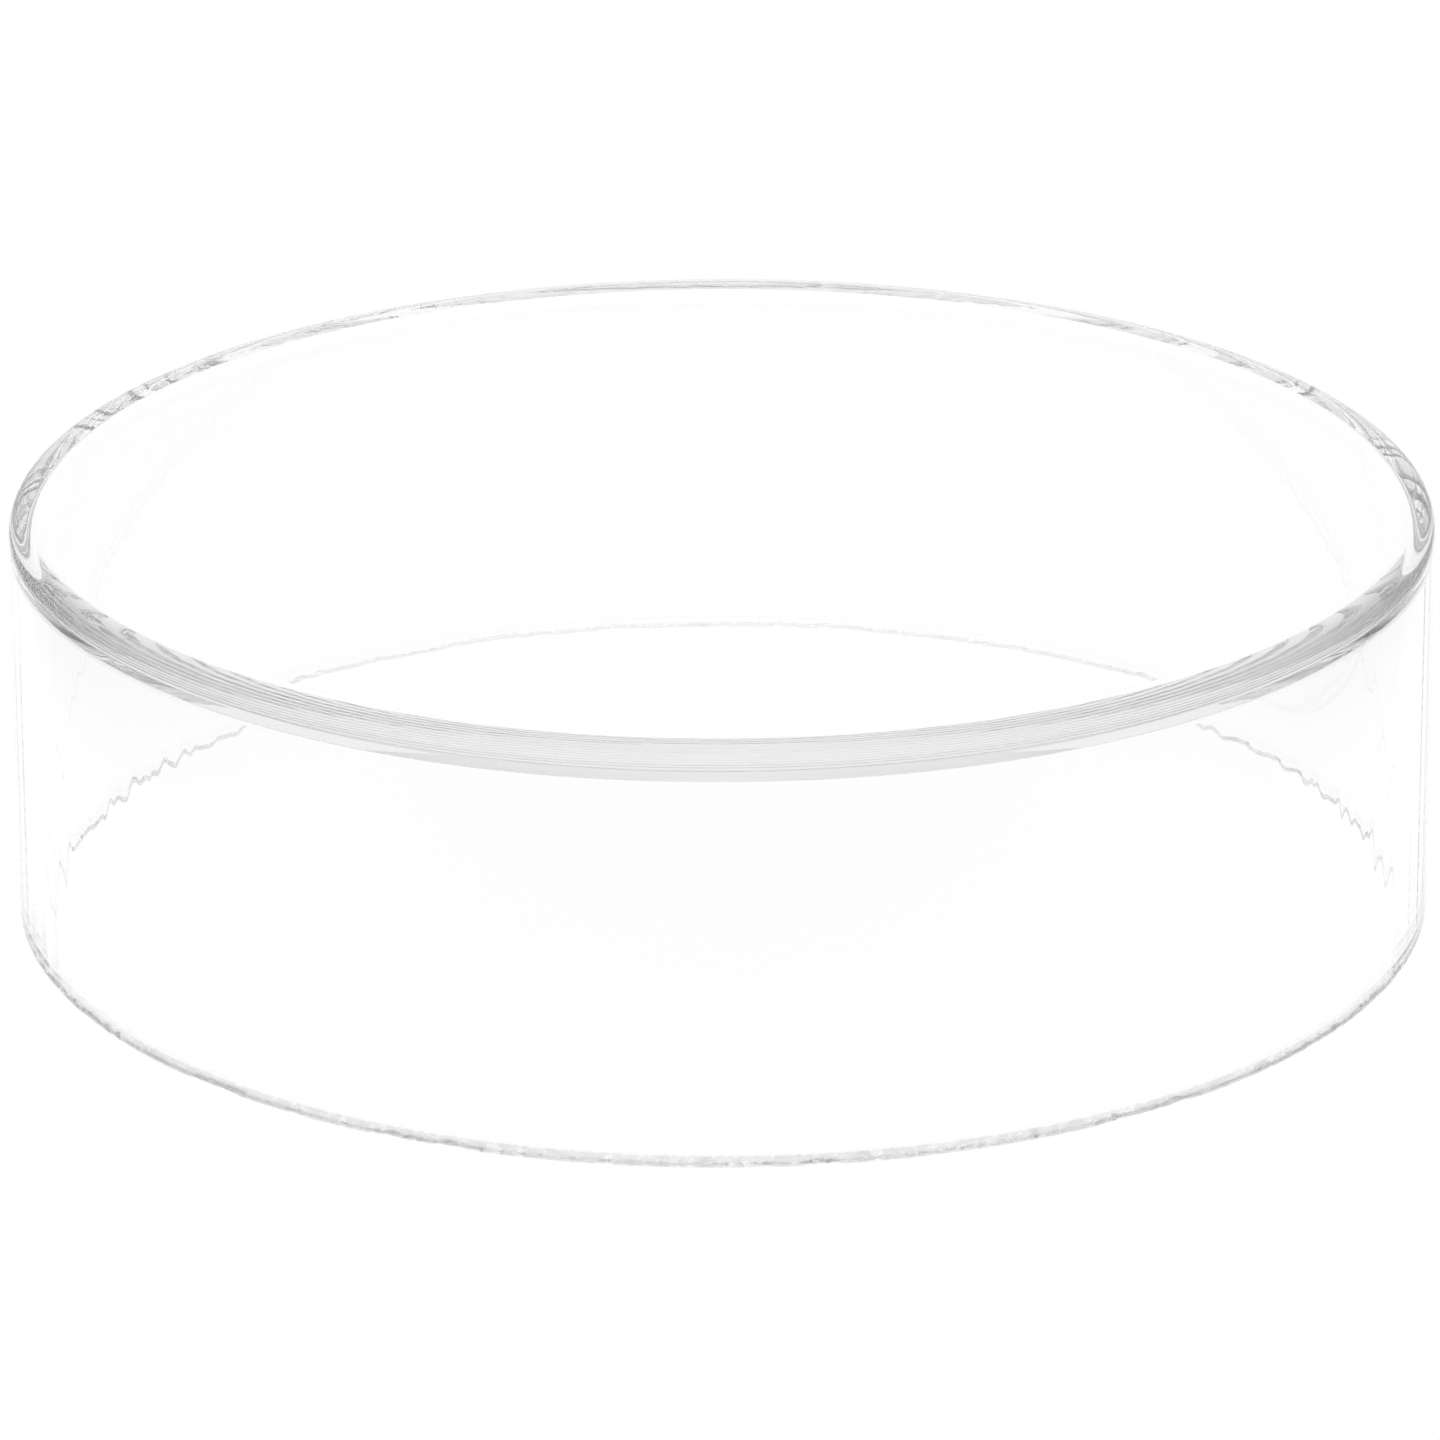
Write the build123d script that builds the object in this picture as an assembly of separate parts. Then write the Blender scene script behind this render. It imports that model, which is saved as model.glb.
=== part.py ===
from build123d import *
import os

# Glass petri dish and its loose lid, in millimetres, +Z up.
# Both pieces stand on their open ends, with their closed ends up: the dish upside down, as cultures
# are kept, and its lid beside it, towards +X. The origin is the centre of the ring that the dish's
# rim stands on. The lid turns over about a line along Y, midway between the two, and comes up under
# the dish's open end, which then stands inside the lid.

WALL = 1.0  # thickness of the glass wall
RIM_R = 0.25  # the fire-polished rounding on both edges of a rim

DISH_OUTER_R = 27.0
DISH_HEIGHT = 16.15
DISH_END = 1.5  # thickness of the dish's closed end
DISH_CORNER_R = 0.7  # outer corner between the closed end and the wall
DISH_INNER_R = 0.15  # inner corner between the closed end and the wall

LID_OUTER_R = 30.0
LID_HEIGHT = 11.0
LID_END = 1.5
LID_CORNER_R = 0.7
LID_INNER_R = 0.15
LID_SEAT_GAP = 0.05  # left between the dish's rim and the closed end of the lid it stands in
LID_OFFSET = 84.0  # from the dish's axis to the axis of the lid that lies beside it

TURN_X = LID_OFFSET / 2
TURN_Z = (LID_HEIGHT - LID_SEAT_GAP - LID_END) / 2


def glass_pan(outer_r, height, end, corner_r, inner_corner_r):
    """A round pan standing on its rim, turned from one section: flat closed end, upright wall, rounded rim."""
    inner_r = outer_r - WALL
    under = height - end
    with BuildPart() as pan:
        with BuildSketch(Plane.XZ):
            with BuildLine():
                Line((0, height), (outer_r - corner_r, height))
                TangentArc((outer_r - corner_r, height), (outer_r, height - corner_r), tangent=(1, 0))
                Line((outer_r, height - corner_r), (outer_r, RIM_R))
                TangentArc((outer_r, RIM_R), (outer_r - RIM_R, 0), tangent=(0, -1))
                Line((outer_r - RIM_R, 0), (inner_r + RIM_R, 0))
                TangentArc((inner_r + RIM_R, 0), (inner_r, RIM_R), tangent=(-1, 0))
                Line((inner_r, RIM_R), (inner_r, under - inner_corner_r))
                TangentArc(
                    (inner_r, under - inner_corner_r), (inner_r - inner_corner_r, under), tangent=(0, 1)
                )
                Line((inner_r - inner_corner_r, under), (0, under))
                Line((0, under), (0, height))
            make_face()
        revolve(axis=Axis.Z)
    return pan.part


def make_dish():
    """The piece that holds the culture, upside down."""
    return glass_pan(DISH_OUTER_R, DISH_HEIGHT, DISH_END, DISH_CORNER_R, DISH_INNER_R)


def make_lid():
    """The wider, shallower piece, lying on its rim beside the dish."""
    lid = glass_pan(LID_OUTER_R, LID_HEIGHT, LID_END, LID_CORNER_R, LID_INNER_R)
    return Pos(LID_OFFSET, 0, 0) * lid


os.makedirs("parts", exist_ok=True)
for node, solid in {"dish": make_dish(), "lid": make_lid()}.items():
    export_step(solid, f"parts/{node}.step")
    box = solid.bounding_box()
    print(f"{node}: volume {solid.volume:.1f} mm3, from {box.min} to {box.max}")
print(f"turning line of the lid: x {TURN_X:.3f}, z {TURN_Z:.3f}")
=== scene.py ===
"""A glass petri dish standing upside down on a white sweep, with its lid lying beside it."""

import math
import random

import bpy
from mathutils import Matrix, Vector


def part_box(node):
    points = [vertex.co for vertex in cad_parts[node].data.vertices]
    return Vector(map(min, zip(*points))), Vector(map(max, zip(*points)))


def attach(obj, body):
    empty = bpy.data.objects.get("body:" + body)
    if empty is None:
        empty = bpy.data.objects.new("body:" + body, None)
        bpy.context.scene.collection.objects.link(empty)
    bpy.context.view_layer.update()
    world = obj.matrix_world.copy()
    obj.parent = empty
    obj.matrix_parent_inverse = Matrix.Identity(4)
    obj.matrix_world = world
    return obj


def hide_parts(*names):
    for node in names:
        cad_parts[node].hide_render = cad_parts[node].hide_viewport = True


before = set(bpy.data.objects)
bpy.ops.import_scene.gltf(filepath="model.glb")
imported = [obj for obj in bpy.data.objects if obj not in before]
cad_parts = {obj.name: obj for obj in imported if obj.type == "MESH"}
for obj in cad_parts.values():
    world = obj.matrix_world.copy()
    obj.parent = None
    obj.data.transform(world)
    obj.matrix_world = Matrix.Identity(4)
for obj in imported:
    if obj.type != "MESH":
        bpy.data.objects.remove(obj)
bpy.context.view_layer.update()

# The glass, in metres. Outer radii, heights and places come from the CAD boxes.
WALL = 0.001
RIM_R = 0.00025  # fire-polished rounding on both edges of a rim
END = 0.0015  # thickness of a closed end
# The outer corner of a closed end is drawn broader than the CAD's, which is a plain round of 0.0007.
CORNER = 0.0015  # how far it reaches in
CORNER_DROP = 0.00085  # and how far it reaches down the wall
CORNER_POWER = 2.3  # of its superellipse: 2 is a plain quarter ellipse
INNER_R = 0.00015  # inner corner between a closed end and its wall
FLAT_PART = 0.5  # of the outer radius: a ring there splits the flat discs

# Its flaws
STRIAE = 240  # streaks drawn along each face of a wall
STRIA_WIDTH = (1.0, 3.5)  # in steps round the axis
STRIA_REACH = 32  # steps to each side over which a streak is worked out
STRIA_SLOPE = 0.0000011  # greatest depth of a streak for each step of its width
STRIA_STRENGTH = (0.15, 1.0)  # of that depth
RAGGED = 0.0001  # how far the rim's edge is lifted at most
RAGGED_STEP = 0.25  # the most that the lift's level changes from one step round the axis to the next

# Mesh
SEGMENTS = 1440  # round the axis
CORNER_STEPS = 24
INNER_STEPS = 8
RIM_STEPS = 6
GUARD = 0.00002  # an extra ring this far past each corner keeps the straight faces' shading straight
CREASE = 30  # degrees between faces that still shade as one

# Look of the glass
IOR = 1.5
ABSORPTION = 3.0  # per metre of glass
GROUND = 0.85  # how much of the rim's grain scatters: it is cut, and only lightly fire-polished
GROUND_HEIGHT = (RIM_R * 0.8, RIM_R * 1.5)  # where the ground zone starts and stops fading, upwards
GROUND_DEPTH = (WALL * 0.5, WALL * 0.2)  # and outwards, measured in from the outer face
GROUND_GREY = 0.7
GRAIN = 3000  # lumps per metre
BOUNCES = 256  # light is guided a long way round the wall

# Camera, in metres and degrees
LENS_MM = 235
SENSOR_MM = 36
CAMERA_DISTANCE = 0.36219  # from the origin
CAMERA_ELEVATION = 21.94
CAMERA_TILT = 1.029  # upwards from the origin
CAMERA_PAN = 0.0156
CAMERA_ROLL = -0.19
CLIP = (0.01, 20)

# Floor, in metres. It glows, and the glass shows painted light and painted shade on it: its brightness is
# given as (y, brightness) over a span of y, away from the camera.
FLOOR_GAP = 0.00003  # air under the glass
FLOOR_HALF = 4.0
STRIP_EDGE = (0.04, 0.08)  # where the lit strip fades into the sides, from its middle line
STRIP_SPAN = (-0.25, 0.25)
STRIP_LIGHT = [(-0.2, 0.55), (-0.1, 0.62), (-0.04, 0.95), (-0.025, 1.02)]
SIDE_SPAN = (-0.25, 0.6)
SIDE_LIGHT = [(-0.15, 0.68), (-0.04, 0.65), (-0.01, 0.5), (0.02, 0.3), (0.05, 0.2), (0.1, 0.42), (0.25, 0.7)]

# Room, as (degrees from the far side round to the camera's, brightness)
HALF_TURN = (0, 180)
LOW_LIGHT = [
    (0, 0.98), (15, 0.85), (32, 0.45), (50, 0.15), (70, 0.38),
    (95, 0.55), (130, 0.58), (155, 0.45), (180, 0.38),
]
HIGH_LIGHT = [(0, 1.12), (30, 0.9), (50, 1.02), (80, 1.22), (180, 1.3)]
RISE = (8, 42)  # degrees up over which the low light turns into the high one


def arc(centre, radius, start, end, steps):
    """Points of an arc in the section, as (r, z), from one angle to another in degrees."""
    points = []
    for i in range(steps + 1):
        angle = math.radians(start + (end - start) * i / steps)
        points.append((centre[0] + radius * math.cos(angle), centre[1] + radius * math.sin(angle)))
    return points


def outer_corner(outer_r, height):
    """The rounded corner from the wall's outer face up to the flat of the closed end."""
    points = []
    for i in range(CORNER_STEPS + 1):
        turn = math.pi / 2 * i / CORNER_STEPS
        out = abs(math.cos(turn)) ** (2 / CORNER_POWER)
        up = abs(math.sin(turn)) ** (2 / CORNER_POWER)
        points.append((outer_r - CORNER + CORNER * out, height - CORNER_DROP + CORNER_DROP * up))
    return points


def pan_section(outer_r, height):
    """The section of a round pan on its rim, from the inside of its closed end, down, round the rim and up.

    Its stretches are the inside of the closed end, the inner face, the rim, the outer face and the top.
    """
    inner_r = outer_r - WALL
    under = height - END
    well = arc((inner_r - INNER_R, under - INNER_R), INNER_R, 90, 0, INNER_STEPS)
    inside = [(outer_r * FLAT_PART, under), (inner_r - INNER_R - GUARD, under)]
    inner = well + [(inner_r, under - INNER_R - GUARD), (inner_r, RIM_R + GUARD)]
    inner_edge = arc((inner_r + RIM_R, RIM_R), RIM_R, 180, 270, RIM_STEPS)
    outer_edge = arc((outer_r - RIM_R, RIM_R), RIM_R, -90, 0, RIM_STEPS)
    face = [(outer_r, RIM_R + GUARD), (outer_r, height - CORNER_DROP - GUARD)]
    outer = face + outer_corner(outer_r, height)
    top = [(outer_r - CORNER - GUARD, height), (outer_r * FLAT_PART, height)]
    return inside, inner, inner_edge + outer_edge, outer, top


def striae(chance):
    """Faint streaks drawn along the glass: how far a face sinks, for each step round the axis."""
    sink = [0.0] * SEGMENTS
    for _ in range(STRIAE):
        centre = chance.uniform(0, SEGMENTS)
        width = chance.uniform(*STRIA_WIDTH)
        depth = chance.uniform(*STRIA_STRENGTH) * width * STRIA_SLOPE
        for k in range(int(centre) - STRIA_REACH, int(centre) + STRIA_REACH + 1):
            sink[k % SEGMENTS] += depth * math.exp(-(((k - centre) / width) ** 2))
    return sink


def ragged(chance):
    """How far the rim's edge is lifted by small chips and drips, for each step round the axis."""
    lift = []
    level = 0.5
    for _ in range(SEGMENTS):
        level = min(1.0, max(0.0, level + chance.uniform(-RAGGED_STEP, RAGGED_STEP)))
        lift.append(RAGGED * level**2)
    return lift


def turned_points(stretches, chance):
    """The section turned round the axis, ring after ring, with the streaks and the ragged rim worked in."""
    inside, inner, rim, outer, top = stretches
    inner_sink, outer_sink, lift = striae(chance), striae(chance), ragged(chance)
    inner_r = inner[-1][0]
    outer_r = outer[0][0]
    reach = outer[-1][0]
    points = []
    for i, (r, z) in enumerate(inside + inner + rim + outer + top):
        on_inner = len(inside) <= i < len(inside) + len(inner)
        on_rim = 0 <= i - len(inside) - len(inner) < len(rim)
        for k in range(SEGMENTS):
            turn = 2 * math.pi * k / SEGMENTS
            radius, rise = r, z
            if on_inner:
                radius = r + inner_sink[k]
            elif on_rim:
                across = (outer_r - r) / (outer_r - inner_r)
                radius = r + inner_sink[k] * across - outer_sink[k] * (1 - across)
                rise = z + lift[k] * (1 - z / RIM_R)
            elif r > reach:
                radius = r - outer_sink[k] * (r - reach) / (outer_r - reach)
            points.append((radius * math.cos(turn), radius * math.sin(turn), rise))
    return points


def turned_faces(rings, under, over):
    """The faces between the rings, and the two flat discs round the middle points under and over."""
    faces = []
    for i in range(rings - 1):
        low, high = i * SEGMENTS, (i + 1) * SEGMENTS
        for k in range(SEGMENTS):
            n = (k + 1) % SEGMENTS
            faces.append((low + k, low + n, high + n, high + k))
    last = (rings - 1) * SEGMENTS
    for k in range(SEGMENTS):
        n = (k + 1) % SEGMENTS
        faces.append((under, n, k))
        faces.append((over, last + k, last + n))
    return faces


def lathe(name, stretches, centre, chance):
    """A closed glass mesh turned from a section whose two ends close in flat discs."""
    rings = sum(len(stretch) for stretch in stretches)
    points = turned_points(stretches, chance)
    middles = [(0.0, 0.0, points[0][2]), (0.0, 0.0, points[-1][2])]
    faces = turned_faces(rings, len(points), len(points) + 1)
    mesh = bpy.data.meshes.new(name)
    mesh.from_pydata(points + middles, [], faces)
    mesh.update()
    mesh.shade_smooth()
    mesh.set_sharp_from_angle(angle=math.radians(CREASE))
    piece = bpy.data.objects.new(name, mesh)
    piece.location = centre
    bpy.context.scene.collection.objects.link(piece)
    return piece


def add(tree, kind, **settings):
    """A new node of that kind, with its settings."""
    node = tree.nodes.new(kind)
    for key, value in settings.items():
        setattr(node, key, value)
    return node


def compute(tree, operation, *sources):
    """A Math node on one or two sources, each an output of another node or a plain number."""
    node = add(tree, "ShaderNodeMath", operation=operation)
    for socket, source in zip(node.inputs, sources):
        if isinstance(source, float):
            socket.default_value = source
        else:
            tree.links.new(source, socket)
    return node.outputs[0]


def blend(tree, factor, first, second):
    """From one brightness to another. The second can be a plain number."""
    node = add(tree, "ShaderNodeMix", data_type="FLOAT")
    tree.links.new(factor, node.inputs[0])
    tree.links.new(first, node.inputs[2])
    if isinstance(second, float):
        node.inputs[3].default_value = second
    else:
        tree.links.new(second, node.inputs[3])
    return node.outputs[0]


def ease(tree, source, low, high, start=0.0, end=1.0):
    """A smooth step of the source from start, at low, to end, at high."""
    node = add(tree, "ShaderNodeMapRange", interpolation_type="SMOOTHSTEP")
    node.inputs["From Min"].default_value = low
    node.inputs["From Max"].default_value = high
    node.inputs["To Min"].default_value = start
    node.inputs["To Max"].default_value = end
    tree.links.new(source, node.inputs["Value"])
    return node.outputs[0]


def ramp(tree, source, span, stops):
    """A value looked up from (position, grey) stops, the position running over the span."""
    low, high = span
    spread = add(tree, "ShaderNodeMapRange")
    spread.inputs["From Min"].default_value = low
    spread.inputs["From Max"].default_value = high
    tree.links.new(source, spread.inputs["Value"])
    table = add(tree, "ShaderNodeValToRGB")
    elements = table.color_ramp.elements
    while len(elements) < len(stops):
        elements.new(0.5)
    for element, (position, grey) in zip(elements, stops):
        element.position = (position - low) / (high - low)
        element.color = (grey, grey, grey, 1.0)
    tree.links.new(spread.outputs[0], table.inputs[0])
    return table.outputs[0]


def ground_zone(tree, outer_r):
    """How much the surface scatters: patchily, on the rim and on the foot of the inner face."""
    place = add(tree, "ShaderNodeTexCoord").outputs["Object"]
    split = add(tree, "ShaderNodeSeparateXYZ")
    tree.links.new(place, split.inputs[0])
    flat = add(tree, "ShaderNodeCombineXYZ")
    tree.links.new(split.outputs["X"], flat.inputs["X"])
    tree.links.new(split.outputs["Y"], flat.inputs["Y"])
    radius = add(tree, "ShaderNodeVectorMath", operation="LENGTH")
    tree.links.new(flat.outputs[0], radius.inputs[0])
    low = ease(tree, split.outputs["Z"], *GROUND_HEIGHT, GROUND, 0.0)
    fade = [outer_r - depth for depth in GROUND_DEPTH]
    within = ease(tree, radius.outputs["Value"], *fade, 1.0, 0.0)
    grain = add(tree, "ShaderNodeTexNoise")
    grain.inputs["Scale"].default_value = GRAIN
    tree.links.new(place, grain.inputs["Vector"])
    return compute(tree, "MULTIPLY", compute(tree, "MULTIPLY", low, within), grain.outputs[0])


def glass_material(name, outer_r):
    """Clear glass, ground on the rim, that darkens only over the long paths light takes inside it."""
    material = bpy.data.materials.new(name)
    material.use_nodes = True
    tree = material.node_tree
    out = tree.nodes["Material Output"]
    clear = tree.nodes["Principled BSDF"]
    clear.inputs["Base Color"].default_value = (1.0, 1.0, 1.0, 1.0)
    clear.inputs["Roughness"].default_value = 0.0
    clear.inputs["IOR"].default_value = IOR
    clear.inputs["Transmission Weight"].default_value = 1.0
    frost = add(tree, "ShaderNodeBsdfDiffuse")
    frost.inputs["Color"].default_value = (GROUND_GREY, GROUND_GREY, GROUND_GREY, 1.0)
    mix = add(tree, "ShaderNodeMixShader")
    tree.links.new(ground_zone(tree, outer_r), mix.inputs[0])
    tree.links.new(clear.outputs[0], mix.inputs[1])
    tree.links.new(frost.outputs[0], mix.inputs[2])
    tree.links.new(mix.outputs[0], out.inputs["Surface"])
    depth = add(tree, "ShaderNodeVolumeAbsorption")
    depth.inputs["Color"].default_value = (0.0, 0.0, 0.0, 1.0)
    depth.inputs["Density"].default_value = ABSORPTION
    tree.links.new(depth.outputs[0], out.inputs["Volume"])
    return material


def make_pan(name, node, body, slot):
    """One piece of glass in place of a CAD node: the dish or the lid."""
    low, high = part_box(node)
    outer_r = (high.y - low.y) / 2
    centre = Vector(((low.x + high.x) / 2, (low.y + high.y) / 2, 0))
    piece = lathe(name, pan_section(outer_r, high.z), centre, random.Random(name))
    piece.data.materials.append(glass_material(slot, outer_r))
    piece.visible_shadow = False
    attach(piece, body)
    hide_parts(node)


def make_camera():
    """A long lens, a little above the bench, turned about its own axes from looking at the origin."""
    elevation = math.radians(CAMERA_ELEVATION)
    data = bpy.data.cameras.new("camera")
    data.sensor_width = SENSOR_MM
    data.lens = LENS_MM
    data.clip_start, data.clip_end = CLIP
    camera = bpy.data.objects.new("camera", data)
    bpy.context.scene.collection.objects.link(camera)
    camera.location = (0, -CAMERA_DISTANCE * math.cos(elevation), CAMERA_DISTANCE * math.sin(elevation))
    pan = Matrix.Rotation(math.radians(CAMERA_PAN), 3, "Z")
    tilt = Matrix.Rotation(math.pi / 2 - elevation + math.radians(CAMERA_TILT), 3, "X")
    roll = Matrix.Rotation(math.radians(CAMERA_ROLL), 3, "Z")
    camera.rotation_euler = (pan @ tilt @ roll).to_euler()
    bpy.context.scene.camera = camera


def seen_white(tree, light):
    """White to what looks straight through the glass, the given light to what it reflects or scatters."""
    path = add(tree, "ShaderNodeLightPath")
    turned = compute(tree, "ADD", path.outputs["Glossy Depth"], path.outputs["Diffuse Depth"])
    straight = compute(tree, "LESS_THAN", turned, 0.5)
    return blend(tree, straight, light, 1.0)


def make_floor():
    """A glowing sheet, white to the camera, which the glass reflects with painted light along its middle and
    painted shade on both sides.

    It only glows, so it shows no reflection of the glass.
    """
    half, z = FLOOR_HALF, -FLOOR_GAP
    corners = [(-half, -half, z), (half, -half, z), (half, half, z), (-half, half, z)]
    mesh = bpy.data.meshes.new("floor")
    mesh.from_pydata(corners, [], [(0, 1, 2, 3)])
    floor = bpy.data.objects.new("floor", mesh)
    bpy.context.scene.collection.objects.link(floor)
    material = bpy.data.materials.new("floor_painted_light_and_shade")
    material.use_nodes = True
    tree = material.node_tree
    tree.nodes.clear()
    place = add(tree, "ShaderNodeNewGeometry")
    split = add(tree, "ShaderNodeSeparateXYZ")
    tree.links.new(place.outputs["Position"], split.inputs[0])
    aside = compute(tree, "ABSOLUTE", split.outputs["X"])
    # Painted light along the middle strip and painted shade to both sides, seen only in the glass.
    middle = ramp(tree, split.outputs["Y"], STRIP_SPAN, STRIP_LIGHT)
    side = ramp(tree, split.outputs["Y"], SIDE_SPAN, SIDE_LIGHT)
    light = blend(tree, ease(tree, aside, *STRIP_EDGE), middle, side)
    glow = add(tree, "ShaderNodeEmission")
    tree.links.new(seen_white(tree, light), glow.inputs["Strength"])
    out = add(tree, "ShaderNodeOutputMaterial")
    tree.links.new(glow.outputs[0], out.inputs[0])
    mesh.materials.append(material)


def make_world():
    """Soft light overhead, brightest behind the camera, and a room low down, dim but for its far side."""
    world = bpy.data.worlds.new("studio")
    bpy.context.scene.world = world
    world.use_nodes = True
    tree = world.node_tree
    back = tree.nodes["Background"]
    back.inputs["Color"].default_value = (1, 1, 1, 1)
    place = add(tree, "ShaderNodeTexCoord")
    split = add(tree, "ShaderNodeSeparateXYZ")
    tree.links.new(place.outputs["Generated"], split.inputs[0])
    aside = compute(tree, "ABSOLUTE", split.outputs["X"])
    turn = compute(tree, "DEGREES", compute(tree, "ARCTAN2", aside, split.outputs["Y"]))
    low = ramp(tree, turn, HALF_TURN, LOW_LIGHT)
    high = ramp(tree, turn, HALF_TURN, HIGH_LIGHT)
    rise = ease(tree, split.outputs["Z"], *(math.sin(math.radians(angle)) for angle in RISE))
    tree.links.new(seen_white(tree, blend(tree, rise, low, high)), back.inputs["Strength"])


def make_render_depth():
    """Light guided inside the wall needs many more bounces than the usual few."""
    cycles = bpy.context.scene.cycles
    cycles.max_bounces = BOUNCES
    cycles.transmission_bounces = BOUNCES
    cycles.glossy_bounces = BOUNCES


make_camera()
make_pan("glass_dish", "dish", "dish", "dish_glass")
make_pan("glass_lid", "lid", "lid", "lid_glass")
make_floor()
make_world()
make_render_depth()
bpy.context.scene.view_settings.view_transform = "Standard"
